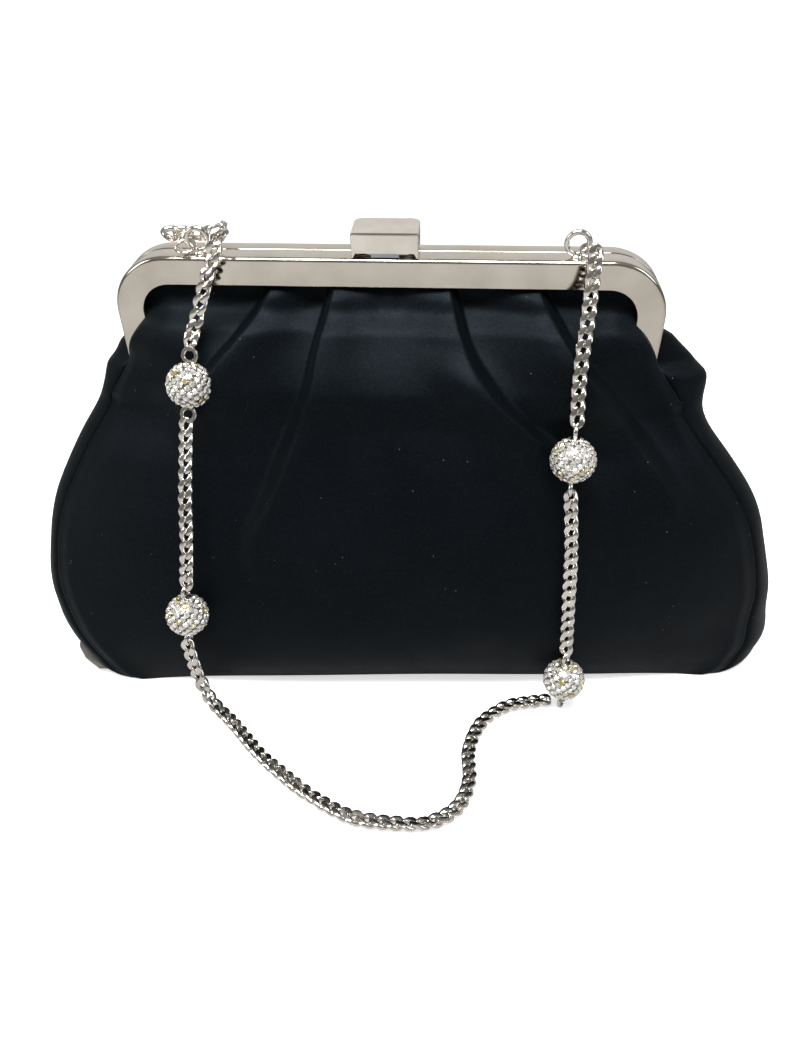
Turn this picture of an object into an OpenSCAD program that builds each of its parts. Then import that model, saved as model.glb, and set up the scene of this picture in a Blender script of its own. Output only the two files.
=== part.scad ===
// Evening bag: a pleated satin pouch on a hinged metal frame, with a flip clasp
// and a curb-chain strap strung with four stone-set balls.
// Front is -Y, up is +Z, and the origin is on the floor under the middle of the bag.

/* [Frame] */
// Outside width of the closed frame
frame_w = 184; // [176:1:192]
// Height from the hinge axis to the top of the jaws
jaw_h = 55; // [52:1:58]
// Width of the flat face of a jaw
face_h = 9.6; // [9:0.1:10]
// Front-to-back depth of one jaw
jaw_d = 7.8; // [7.6:0.1:8]
// Outer corner radius of a jaw
corner_r = 20; // [16:1:24]
// Wall of the jaw channels
jaw_wall = 1; // [0.8:0.1:1.1]
// Height of the hinge axis above the floor
hinge_z = 111; // [109:1:113]
// Forward lean of the frame
lean = 12; // [10:1:13]

/* [Clasp] */
// Width of the clasp cover
clasp_w = 22; // [20:1:26]
// Height of the clasp cover above the jaws
clasp_h = 8.4; // [8:0.1:9.5]
// Width of the catch tongue
tongue_w = 9.6; // [8:0.2:11]

/* [Pouch] */
// Greatest half width of the pouch
pouch_half_w = 148; // [144:1:150]
// Height of the widest place of the pouch
wide_z = 25; // [22:1:28]
// Greatest reach of the front and back from the middle
pouch_half_d = 42; // [40:1:43]
// Height of the fullest place of the front and back
full_z = 38; // [35:1:40]
// Thickness of the padded outer fabric
fabric_t = 2.2; // [2:0.1:2.4]
// Thickness of the lining
lining_t = 0.8; // [0.6:0.1:0.9]

/* [Strap] */
// Diameter of a stone-set ball
ball_d = 16; // [15:0.5:16.5]
// Width of the curb chain
chain_w = 5.6; // [5:0.1:5.8]
// Outside diameter of the upright chain loops
loop_d = 9; // [8.6:0.1:9.2]

/* [Hidden] */
$fn = 48;

// Frame, in its own upright axes with the hinge axis at their origin
half_w = frame_w / 2;
parting = 0.15;
leg_end = 5.5;
tab_r = 4.5;
tab_t = 1;
tab_gap = 0.2;
rivet_r = 1.25;
rivet_head_r = 3;
running_gap = 0.05;
front_edge_r = 1.4;
back_edge_r = 3;
groove_d = jaw_d - 2 * jaw_wall;
cord_r = 1.3;
cord_inset = 3.2;
cord_depth = parting + jaw_d / 2;

// Clasp, in the frame's axes
cover_wall = 1;
cover_top_z = jaw_h + clasp_h;
cover_front_y = -parting - jaw_d;
cover_foot_z = jaw_h + 0.3;
slot_h = 1.6;
pin_y = 4.5;
pin_z = jaw_h + 3.1;
pin_r = 0.9;
ear_r = 1.7;
ear_web = 2;
ear_t = 2.6;
ear_gap = 0.3;
cover_turn_r = 2.6;
cover_back_y = pin_y + 2.7;
plan_corner_r = 3;
tongue_h = 1.4;
spring_t = 0.4;
spring_w = 9;

// Strap
loop_x = 62;
loop_wire_r = 0.9;
ring_r = 3.2;
ring_wire_r = 0.6;
ring_tilt = 20;
eye_r = 2.3;
eye_wire_r = 0.75;
ball_r = ball_d / 2;
eye_reach = ball_r + 1.9;
chain_sides = 8;
chain_step = 16;

left_upper_ball_at = [-65, -33, 124];
left_lower_ball_at = [-70.5, -49, 42.5];
right_upper_ball_at = [64, -38, 102.5];
right_lower_ball_at = [68.5, -41, 14.5];
left_upper_route = [[-71, -15, 170], [-66.5, -10.5, 169.5], [-60.5, -9.5, 169.5], [-55.5, -12, 170.5],
  [-53, -17.5, 172], [-53.5, -24, 170], [-55, -25, 164], [-58, -26, 156], [-62, -26, 145], [-64, -29, 138]];
left_lower_route = [[-67, -35, 110], [-68, -37, 98], [-68.5, -41, 85], [-68.5, -45, 71], [-69.5, -48, 56]];
front_route = [[-71.5, -49.5, 28.5], [-70.5, -50, 23], [-69, -50, 15], [-66.5, -51, 8.5], [-62, -54, 4.5],
  [-54, -61, 3], [-41, -76, 3], [-30, -86, 3], [-20, -94, 3], [-6, -102, 3], [8, -104, 3],
  [20, -103, 3], [29, -96, 3], [33, -84, 3], [33, -69, 3], [38, -54, 3], [48, -44, 3], [60.5, -40, 3]];
right_lower_route = [[68, -41, 29], [67, -41, 50], [66.5, -41, 62], [65.5, -40, 77], [64.5, -38.5, 88.5]];
right_upper_route = [[64, -37, 117], [64, -34, 127], [64.5, -31.5, 136], [65.5, -28.5, 147],
  [66, -26.5, 158], [66.5, -25, 166]];

// Pouch
base_t = 2.5;
foot_tuck = 24;
foot_turn = 0.08;
foot_turn_end_z = 90;
board_t = 1.6;
lining_gap = 0.3;
lining_foot_z = base_t + board_t + 0.4;
lining_from = fabric_t + lining_gap;
side_lining_from = lining_from + 0.5;
channel_start_z = hinge_z + 7;
seam_end_z = 98;
panel_top_z = 156;
split_z = 98.4;
seam_gap = 0.15;
foot_levels = [base_t, lining_foot_z, 7, 14, 24, 38, 54, 70, 85, seam_end_z];
waist_levels = [104, 110, 114, 118, 124, 131, 138, 145, 151];
front_levels = concat(foot_levels, waist_levels, [panel_top_z]);
high_levels = concat([split_z], waist_levels, [panel_top_z + 1.5]);
lining_levels = [for (z = foot_levels) if (z >= lining_foot_z) z];
panel_steps = 16;
side_steps = 6;

silver = [0.84, 0.84, 0.85];
satin = [0.08, 0.085, 0.095];
lining_colour = [0.12, 0.11, 0.12];

// ---- frame ----

module in_frame() translate([0, 0, hinge_z]) rotate([lean, 0, 0]) children();

// Section of a jaw channel: x runs outward, y runs away from the parting line
module jaw_section(edge_r) {
  difference() {
    translate([0, parting]) union() {
      square([face_h - edge_r, jaw_d]);
      square([face_h, jaw_d - edge_r]);
      translate([face_h - edge_r, jaw_d - edge_r]) circle(edge_r);
    }
    translate([-1, parting + jaw_wall]) square([face_h - jaw_wall + 1, groove_d]);
  }
}

// Carries a flat section round half of the upturned U of the frame, lying in the XY plane
module half_u(inner, leg_from) {
  rotate([90, 0, 90]) translate([jaw_h - inner, 0]) linear_extrude(half_w - corner_r) children();
  translate([half_w - corner_r, jaw_h - corner_r]) rotate_extrude(angle = 90, $fn = 96)
    translate([corner_r - inner, 0]) children();
  translate([half_w - inner, jaw_h - corner_r]) rotate([90, 0, 0])
    linear_extrude(jaw_h - corner_r - leg_from) children();
}

module both_sides() {
  children();
  mirror([1, 0, 0]) children();
}

module hinge_tab(tab_x, hole_r, root_t) {
  translate([tab_x, 0]) rotate([0, 90, 0]) linear_extrude(tab_t) difference() {
    union() {
      circle(tab_r);
      translate([-tab_r, 0]) square([tab_r - parting, leg_end + 4]);
    }
    circle(hole_r);
  }
  translate([tab_x, leg_end, parting]) cube([root_t, 4, tab_r - parting]);
}

module front_jaw() color(silver) in_frame() rotate([90, 0, 0]) both_sides() {
  half_u(face_h, leg_end) jaw_section(front_edge_r);
  hinge_tab(half_w - tab_t, rivet_r, tab_t);
}

module back_jaw() color(silver) in_frame() mirror([0, 1, 0]) rotate([90, 0, 0]) both_sides() {
  half_u(face_h, leg_end) jaw_section(back_edge_r);
  hinge_tab(half_w - 2 * tab_t - tab_gap, rivet_r + running_gap, tab_t + tab_gap);
}

module hinge_rivet() {
  back_face = half_w - 2 * tab_t - tab_gap;
  translate([back_face - 0.9, 0, 0]) rotate([0, 90, 0]) cylinder(r = 2.1, h = 0.8);
  translate([back_face - 0.5, 0, 0]) rotate([0, 90, 0]) cylinder(r = rivet_r, h = 2 * tab_t + tab_gap + 0.8);
  translate([half_w, 0, 0]) rotate([0, 90, 0]) cylinder(r = rivet_head_r, h = 0.5);
  translate([half_w + 0.5, 0, 0]) rotate([0, 90, 0]) cylinder(r1 = rivet_head_r, r2 = 2, h = 0.5);
}

module left_hinge_rivet() color(silver) in_frame() mirror([1, 0, 0]) hinge_rivet();
module right_hinge_rivet() color(silver) in_frame() hinge_rivet();

module tucking_cord() rotate([90, 0, 0]) both_sides()
  half_u(cord_inset, leg_end + 5) translate([0, cord_depth]) circle(cord_r);

module front_tucking_cord() color("tan") in_frame() tucking_cord();
module back_tucking_cord() color("tan") in_frame() mirror([0, 1, 0]) tucking_cord();

// ---- clasp ----

// Extrudes a side profile, drawn as [y, z], symmetrically about the middle of the frame
module across(width) rotate([90, 0, 90]) translate([0, 0, -width / 2]) linear_extrude(width) children();

module cover_side_profile() {
  translate([cover_front_y, cover_foot_z]) square([pin_y - cover_front_y, cover_top_z - cover_foot_z]);
  translate([cover_front_y, pin_z + 1.5])
    square([cover_back_y - cover_front_y, cover_top_z - pin_z - 1.5]);
  translate([pin_y, pin_z]) circle(cover_turn_r);
}

module cover_plan() {
  deep = cover_back_y - cover_front_y;
  translate([-clasp_w / 2, cover_front_y]) square([clasp_w, deep - plan_corner_r]);
  translate([-clasp_w / 2 + plan_corner_r, cover_front_y]) square([clasp_w - 2 * plan_corner_r, deep]);
  for (side = [-1, 1])
    translate([side * (clasp_w / 2 - plan_corner_r), cover_back_y - plan_corner_r]) circle(plan_corner_r);
}

module clasp_cover() color(silver) in_frame() difference() {
  intersection() {
    across(clasp_w) cover_side_profile();
    linear_extrude(cover_top_z) cover_plan();
  }
  // hollow under the top plate
  across(clasp_w - 2 * cover_wall)
    translate([cover_front_y + cover_wall, jaw_h - 1])
      square([cover_back_y - 0.8 - cover_front_y - cover_wall, clasp_h + 1 - cover_wall]);
  // open below the back wall
  across(clasp_w - 2 * cover_wall)
    translate([pin_y - 1, jaw_h - 1]) square([6, pin_z + 1.5 - jaw_h + 1]);
  // slot below the front wall
  across(clasp_w - 2 * cover_wall)
    translate([cover_front_y - 1, jaw_h - 1]) square([3, slot_h + 1]);
  across(clasp_w + 2) translate([pin_y, pin_z]) circle(pin_r + running_gap);
}

module clasp_hinge_bracket() color(silver) in_frame() difference() {
  ear_outer = clasp_w / 2 - cover_wall - ear_gap;
  union() {
    across(2 * ear_outer) translate([0.8, jaw_h]) square([4.4, 0.8]);
    for (side = [-1, 1]) translate([side * (ear_outer - ear_t / 2), 0, 0]) across(ear_t) {
      translate([pin_y, pin_z]) circle(ear_r);
      translate([pin_y - ear_web / 2, jaw_h]) square([ear_web, pin_z - jaw_h]);
    }
  }
  across(clasp_w) translate([pin_y, pin_z]) circle(pin_r);
}

module clasp_hinge_pin() color(silver) in_frame() across(clasp_w) translate([pin_y, pin_z]) circle(pin_r);

// A folded leaf: flat under the cover's top, down inside the front wall, and a foot under the tongue's lip
module clasp_spring() color("silver") in_frame() across(spring_w) {
  top = cover_top_z - cover_wall - spring_t;
  front = cover_front_y + cover_wall + 0.1;
  translate([front, top]) square([8, spring_t]);
  translate([front, jaw_h + 0.2]) square([spring_t, top - jaw_h]);
  translate([front, jaw_h + 0.2]) square([1.5, 0.4]);
}

module catch_tongue() color(silver) in_frame() across(tongue_w) {
  lip_y = cover_front_y + cover_wall + 0.8;
  translate([lip_y + 1, jaw_h]) square([2.4, tongue_h]);
  translate([lip_y, jaw_h + tongue_h - 0.5]) square([3.4, 0.5]);
}

// ---- strap fittings ----

module wire_ring(radius, wire_r) rotate_extrude($fn = 64) translate([radius, 0]) circle(wire_r, $fn = 24);

// An upright ring soldered on a small foot
module chain_loop() {
  mid_z = jaw_h + loop_d / 2 + 0.1;
  translate([loop_x, -parting - jaw_d / 2, mid_z]) rotate([90, 0, 0])
    wire_ring(loop_d / 2 - loop_wire_r, loop_wire_r);
  translate([loop_x, -parting - jaw_d / 2, jaw_h]) cylinder(r = 1.9, h = 0.6);
}

module jump_ring() translate([loop_x + 4, -5.2, jaw_h + 2.6]) rotate([ring_tilt, 0, 0])
  wire_ring(ring_r, ring_wire_r);

module left_chain_loop() color(silver) in_frame() mirror([1, 0, 0]) chain_loop();
module right_chain_loop() color(silver) in_frame() chain_loop();
module left_jump_ring() color(silver) in_frame() mirror([1, 0, 0]) jump_ring();
module right_jump_ring() color(silver) in_frame() jump_ring();

module ball_at(at) color([0.85, 0.85, 0.8]) translate(at) sphere(r = ball_r, $fn = 64);
module left_upper_ball() ball_at(left_upper_ball_at);
module left_lower_ball() ball_at(left_lower_ball_at);
module right_upper_ball() ball_at(right_upper_ball_at);
module right_lower_ball() ball_at(right_lower_ball_at);

// Two flat eyes on one ball, one at each end of a line that leans and turns with the strap
module eyes_at(at, swing, tilt, turn) color(silver) translate(at) rotate([swing, tilt, 0]) difference() {
  for (end = [-1, 1]) translate([0, 0, end * eye_reach]) rotate([90, 0, turn])
    wire_ring(eye_r, eye_wire_r);
  sphere(r = ball_r, $fn = 64);
}

module left_upper_eyes() eyes_at(left_upper_ball_at, -10, 5, 0);
module left_lower_eyes() eyes_at(left_lower_ball_at, -2, 3, 80);
module right_upper_eyes() eyes_at(right_upper_ball_at, -4, 0, 80);
module right_lower_eyes() eyes_at(right_lower_ball_at, 0, 0, 60);

// ---- chain, one plain tube for each stretch ----

function unit(v) = v / norm(v);
function lerp(a, b, t) = a + (b - a) * t;

// Rings a step or so apart along a route of points
function spaced(route, step) = concat([for (i = [0:len(route) - 2])
  let (count = max(1, round(norm(route[i + 1] - route[i]) / step)))
  for (k = [0:count - 1]) lerp(route[i], route[i + 1], k / count)], [route[len(route) - 1]]);

function heading(points, i) = unit(points[min(i + 1, len(points) - 1)] - points[max(i - 1, 0)]);

module swept_tube(route, radius) {
  points = spaced(route, chain_step);
  last = len(points) - 1;
  rings = [for (i = [0:last]) let (along = heading(points, i),
      across = unit(cross(along, abs(along[0]) < 0.8 ? [1, 0, 0] : [0, 1, 0])),
      third = cross(along, across))
    for (k = [0:chain_sides - 1]) let (a = 360 * k / chain_sides)
      points[i] + radius * (cos(a) * across + sin(a) * third)];
  walls = [for (i = [0:last - 1], k = [0:chain_sides - 1])
    let (a = i * chain_sides + k, b = i * chain_sides + (k + 1) % chain_sides)
      each [[a, a + chain_sides, b], [b, a + chain_sides, b + chain_sides]]];
  caps = [[for (k = [0:chain_sides - 1]) k],
    [for (k = [chain_sides - 1:-1:0]) last * chain_sides + k]];
  polyhedron(rings, concat(walls, caps), convexity = 8);
}

module chain(route) color(silver) swept_tube(route, chain_w / 2);
module chain_left_upper() chain(left_upper_route);
module chain_left_lower() chain(left_lower_route);
module chain_front() chain(front_route);
module chain_right_lower() chain(right_lower_route);
module chain_right_upper() chain(right_upper_route);

// ---- pouch ----

function clamp(t) = max(0, min(1, t));
function smooth(t) = let (s = clamp(t)) s * s * (3 - 2 * s);
function quarter_arc(t) = sqrt(max(0, 1 - (1 - clamp(t)) * (1 - clamp(t))));

// Half width at height z: a quarter arc below the widest place, a falling power curve above it
function half_width(z) = z < wide_z ? lerp(pouch_half_w - 20, pouch_half_w, quarter_arc(z / wide_z))
  : pouch_half_w - 46 * pow((z - wide_z) / 102, 1.6);

// Reach of the front or back middle at height z, which ends on the frame's leaning line
function middle_reach(z, top_reach, power) = z < full_z
  ? lerp(pouch_half_d - foot_tuck, pouch_half_d, quarter_arc(z / full_z))
  : pouch_half_d - (pouch_half_d - top_reach) * pow((z - full_z) / (panel_top_z - full_z), power);

// y of the middle of a jaw's channel at height z, for side -1 in front and 1 behind
function channel_y(z, side) = side * (parting + jaw_d / 2) / cos(lean) - (z - hinge_z) * tan(lean);

// Half width of the fabric held in the channel, which follows the rounded corner of the frame
function held_x(z) = let (rise = (z - hinge_z) / cos(lean) - (jaw_h - corner_r), r = corner_r - 6)
  half_w - corner_r + (rise < 0 ? r : sqrt(r * r - rise * rise));

// Seam between panel and gusset below, edge inside the frame's channel above
function edge_x(z) = lerp(half_width(z) - seam_inset(z), held_x(z),
  smooth((z - seam_end_z) / (channel_start_z - seam_end_z)));
function seam_inset(z) = lerp(16, 8, smooth(z / 60));
function seam_y(z) = lerp(26, 12, smooth(z / 110));
function edge_y(z, side) = lerp(side * seam_y(z), channel_y(z, side) + side * fabric_t / 2,
  smooth((z - seam_end_z) / (channel_start_z - seam_end_z)));
function middle_y(z, side) = side < 0 ? -middle_reach(z, 14.9, 1.9) : middle_reach(z, -4.2, 1.82);

// Fullness across a panel: round below, flat beside the legs of the frame above
function fullness(u, z) = pow(1 - pow(abs(u), 2.4), lerp(1, 1.6, smooth((z - 90) / 30)));

// The foot stands a little turned under the frame, by a share of x that runs out higher up
function turned(p) = [p[0], p[1] + foot_turn * p[0] * (1 - smooth(p[2] / foot_turn_end_z)), p[2]];

function panel_point(u, z, side, depth) = turned([
  (edge_x(z) - depth) * u,
  lerp(edge_y(z, side), middle_y(z, side), fullness(u, z)) - side * depth,
  z]);

// Side strip between the seams, bowed outward
function strip_point(u, z, hand, depth) = turned([
  hand * (lerp(edge_x(z), max(half_width(z), edge_x(z) + 2), 1 - u * u) - depth),
  u * (seam_y(z) - seam_gap - depth),
  z]);

// Closed skin from an outer and an inner grid of points, rows by level and columns across
module skin(outer, inner) {
  rows = len(outer);
  cols = len(outer[0]);
  size = rows * cols;
  points = concat([for (row = outer) each row], [for (row = inner) each row]);
  at = function(i, j) i * cols + j;
  sheet = [for (i = [0:rows - 2], j = [0:cols - 2])
    each [[at(i, j), at(i + 1, j), at(i + 1, j + 1)], [at(i, j), at(i + 1, j + 1), at(i, j + 1)]]];
  back = [for (f = sheet) [f[0] + size, f[2] + size, f[1] + size]];
  rim = concat([for (j = [0:cols - 2]) [at(0, j), at(0, j + 1)]],
    [for (i = [0:rows - 2]) [at(i, cols - 1), at(i + 1, cols - 1)]],
    [for (j = [cols - 1:-1:1]) [at(rows - 1, j), at(rows - 1, j - 1)]],
    [for (i = [rows - 1:-1:1]) [at(i, 0), at(i - 1, 0)]]);
  edge = [for (e = rim) each [[e[0], e[1], e[1] + size], [e[0], e[1] + size, e[0] + size]]];
  polyhedron(points, concat(sheet, back, edge), convexity = 6);
}

function across_steps(count) = [for (j = [0:count]) 2 * j / count - 1];

module panel_skin(levels, side, from, thick) {
  steps = across_steps(panel_steps);
  grid = function(depth) [for (z = levels) [for (u = steps) panel_point(-side * u, z, side, depth)]];
  skin(grid(from), grid(from + thick));
}

module strip_skin(hand, from, thick, levels) {
  steps = across_steps(side_steps);
  grid = function(depth) [for (z = levels) [for (u = steps) strip_point(hand * u, z, hand, depth)]];
  skin(grid(from), grid(from + thick));
}

module front_panel() color(satin) panel_skin(front_levels, -1, 0, fabric_t);
module back_panel_lower() color(satin) panel_skin(foot_levels, 1, 0, fabric_t);
module back_panel_upper() color(satin) panel_skin(high_levels, 1, 0, fabric_t);
module left_gusset() color(satin) strip_skin(-1, 0, fabric_t, foot_levels);
module right_gusset() color(satin) strip_skin(1, 0, fabric_t, foot_levels);
module front_lining() color(lining_colour)
  panel_skin(concat(lining_levels, waist_levels), -1, lining_from, lining_t);
module back_lining() color(lining_colour) panel_skin(lining_levels, 1, lining_from, lining_t);
module back_lining_upper() color(lining_colour)
  panel_skin(concat([split_z], waist_levels), 1, lining_from, lining_t);
module left_side_lining() color(lining_colour) strip_skin(-1, side_lining_from, lining_t, lining_levels);
module right_side_lining() color(lining_colour) strip_skin(1, side_lining_from, lining_t, lining_levels);

// Outline of the foot of the pouch, at the height where the panels begin
module foot_outline(depth) {
  front = [for (u = across_steps(panel_steps)) let (p = panel_point(u, base_t, -1, depth)) [p[0], p[1]]];
  right = [for (u = across_steps(side_steps)) let (p = strip_point(u, base_t, 1, depth)) [p[0], p[1]]];
  back = [for (u = across_steps(panel_steps)) let (p = panel_point(-u, base_t, 1, depth)) [p[0], p[1]]];
  left = [for (u = across_steps(side_steps)) let (p = strip_point(-u, base_t, -1, depth)) [p[0], p[1]]];
  polygon([for (part = [front, right, back, left]) for (i = [0:len(part) - 2]) part[i]]);
}

module base_panel() color(satin) linear_extrude(base_t) foot_outline(0);
module base_board() color("dimgray") translate([0, 0, base_t + 0.1])
  linear_extrude(board_t) foot_outline(lining_from + lining_t + 0.4);

front_jaw();
back_jaw();
left_hinge_rivet();
right_hinge_rivet();
front_tucking_cord();
back_tucking_cord();
clasp_cover();
clasp_hinge_bracket();
clasp_hinge_pin();
clasp_spring();
catch_tongue();
left_chain_loop();
right_chain_loop();
left_jump_ring();
right_jump_ring();
chain_left_upper();
chain_left_lower();
chain_front();
chain_right_lower();
chain_right_upper();
left_upper_ball();
left_lower_ball();
right_upper_ball();
right_lower_ball();
left_upper_eyes();
left_lower_eyes();
right_upper_eyes();
right_lower_eyes();
front_panel();
back_panel_lower();
back_panel_upper();
left_gusset();
right_gusset();
base_panel();
base_board();
front_lining();
back_lining();
back_lining_upper();
left_side_lining();
right_side_lining();
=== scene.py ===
import math
import bpy
import numpy as np
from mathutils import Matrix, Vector


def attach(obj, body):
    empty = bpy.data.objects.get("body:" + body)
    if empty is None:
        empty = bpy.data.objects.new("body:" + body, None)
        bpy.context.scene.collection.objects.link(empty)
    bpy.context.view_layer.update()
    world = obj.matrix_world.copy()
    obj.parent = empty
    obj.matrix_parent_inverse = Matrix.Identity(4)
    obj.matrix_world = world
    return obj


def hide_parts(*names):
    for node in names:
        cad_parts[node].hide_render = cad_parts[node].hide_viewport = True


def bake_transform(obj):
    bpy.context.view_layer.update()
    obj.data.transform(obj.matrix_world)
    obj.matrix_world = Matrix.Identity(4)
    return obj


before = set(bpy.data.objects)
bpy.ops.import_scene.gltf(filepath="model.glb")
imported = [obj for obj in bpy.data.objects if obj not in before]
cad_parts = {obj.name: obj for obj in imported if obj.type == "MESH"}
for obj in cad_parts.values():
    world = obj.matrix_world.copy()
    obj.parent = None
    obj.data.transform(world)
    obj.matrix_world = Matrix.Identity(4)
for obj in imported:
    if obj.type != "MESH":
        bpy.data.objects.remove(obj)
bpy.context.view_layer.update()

mm = 0.001
scene = bpy.context.scene


def smooth(t):
    # 3t^2 - 2t^3, held at 0 and 1 outside the range
    s = np.clip(t, 0, 1)
    return s * s * (3 - 2 * s)


def lerp(a, b, t):
    return a + (b - a) * t


def unit(v):
    return v / np.maximum(np.linalg.norm(v, axis=-1, keepdims=True), 1e-12)


def addMesh(name, points, faces, material, soft=True):
    # points in millimetres, faces as lists or an array of equal length rows
    mesh = bpy.data.meshes.new(name)
    mesh.from_pydata((np.asarray(points, float) * mm).tolist(), [], [list(map(int, f)) for f in faces])
    mesh.validate()
    mesh.polygons.foreach_set("use_smooth", np.full(len(mesh.polygons), soft))
    mesh.materials.append(material)
    piece = bpy.data.objects.new(name, mesh)
    scene.collection.objects.link(piece)
    return piece


def gridFaces(rows, cols, wrapRows=False, wrapCols=False):
    # quads between neighbouring rows and columns of a grid, closed round either way if wanted
    i = np.arange(rows if wrapRows else rows - 1)[:, None]
    j = np.arange(cols if wrapCols else cols - 1)[None, :]
    i2, j2 = (i + 1) % rows, (j + 1) % cols
    a, b, c, d = i * cols + j, i * cols + j2, i2 * cols + j2, i2 * cols + j
    return np.stack(np.broadcast_arrays(a, b, c, d), -1).reshape(-1, 4)


def addUv(piece, uv):
    layer = piece.data.uv_layers.new(name="weave")
    index = np.zeros(len(piece.data.loops), np.int32)
    piece.data.loops.foreach_get("vertex_index", index)
    layer.data.foreach_set("uv", np.asarray(uv, np.float32)[index].ravel())


def sampled(at, along, values):
    # each column read off at the wanted places, by straight lines
    return np.stack([np.interp(at, along, values[:, k]) for k in range(3)], 1)


def splineRoute(points, step):
    # Catmull-Rom curve through the points, then points at equal steps along its length
    p = np.asarray(points, float)
    p = np.vstack([2 * p[0] - p[1], p, 2 * p[-1] - p[-2]])
    t = np.linspace(0, 1, 24, endpoint=False)[:, None]
    parts = [0.5 * (2 * b + (c - a) * t + (2 * a - 5 * b + 4 * c - d) * t ** 2
                    + (3 * b - a - 3 * c + d) * t ** 3)
             for a, b, c, d in zip(p[:-3], p[1:-2], p[2:-1], p[3:])]
    fine = np.vstack(parts + [p[-2][None]])
    along = np.concatenate([[0], np.cumsum(np.linalg.norm(np.diff(fine, axis=0), axis=1))])
    count = max(4, int(round(along[-1] / step)) + 1)
    at = np.linspace(0, along[-1], count)
    return sampled(at, along, fine), along[-1]


def newMaterial(name):
    material = bpy.data.materials.new(name)
    material.use_nodes = True
    tree = material.node_tree
    return material, tree.nodes, tree.links, tree.nodes["Principled BSDF"]


def noise(nodes, links, vector, scale, detail=3.0, rough=0.55):
    n = nodes.new("ShaderNodeTexNoise")
    n.inputs["Scale"].default_value = scale
    n.inputs["Detail"].default_value = detail
    n.inputs["Roughness"].default_value = rough
    links.new(vector, n.inputs["Vector"])
    return n.outputs["Fac"]


def ramp(nodes, links, value, stops):
    r = nodes.new("ShaderNodeValToRGB")
    r.color_ramp.elements[0].position, r.color_ramp.elements[0].color = stops[0][0], (*stops[0][1], 1)
    r.color_ramp.elements[1].position, r.color_ramp.elements[1].color = stops[-1][0], (*stops[-1][1], 1)
    for place, colour in stops[1:-1]:
        r.color_ramp.elements.new(place).color = (*colour, 1)
    links.new(value, r.inputs["Fac"])
    return r.outputs["Color"]


def grey(v):
    return (v, v, v)


def bump(nodes, links, height, shader, strength, distance, chain=None):
    b = nodes.new("ShaderNodeBump")
    b.inputs["Strength"].default_value = strength
    b.inputs["Distance"].default_value = distance
    links.new(height, b.inputs["Height"])
    if chain is not None:
        links.new(chain, b.inputs["Normal"])
    if shader is not None:
        links.new(b.outputs["Normal"], shader.inputs["Normal"])
    return b.outputs["Normal"]


def objectCoords(nodes):
    return nodes.new("ShaderNodeTexCoord").outputs["Object"]


def polishedMetal(name, light, dark, roughLow, roughHigh, pits):
    # mirror metal with cloudy roughness, faint hairlines and small pits
    material, nodes, links, shader = newMaterial(name)
    where = objectCoords(nodes)
    links.new(ramp(nodes, links, noise(nodes, links, where, 55), [(0.3, dark), (0.7, light)]),
              shader.inputs["Base Color"])
    shader.inputs["Metallic"].default_value = 1.0
    cloudy = noise(nodes, links, where, 140, 5)
    links.new(ramp(nodes, links, cloudy, [(0.35, grey(roughLow)), (0.75, grey(roughHigh))]),
              shader.inputs["Roughness"])
    cells = nodes.new("ShaderNodeTexVoronoi")
    cells.inputs["Scale"].default_value = 620
    links.new(where, cells.inputs["Vector"])
    dots = ramp(nodes, links, cells.outputs["Distance"], [(0.0, grey(0.0)), (0.12, grey(1.0))])
    first = bump(nodes, links, dots, None, pits, 0.00005)
    bump(nodes, links, noise(nodes, links, where, 38, 2), shader, 0.12, 0.0006, first)
    return material


frameChrome = polishedMetal("frameChrome", (0.69, 0.635, 0.55), (0.55, 0.50, 0.425), 0.07, 0.16, 0.25)
claspChrome = polishedMetal("claspChrome", (0.88, 0.82, 0.74), (0.66, 0.60, 0.52), 0.10, 0.22, 0.4)
chainSilver = polishedMetal("chainSilver", (0.88, 0.84, 0.78), (0.60, 0.565, 0.52), 0.12, 0.24, 0.3)
coreSilver = polishedMetal("coreSilver", (0.74, 0.71, 0.66), (0.34, 0.325, 0.30), 0.2, 0.35, 0.3)
springSteel = polishedMetal("springSteel", (0.45, 0.45, 0.46), (0.33, 0.33, 0.34), 0.28, 0.42, 0.3)


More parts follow.
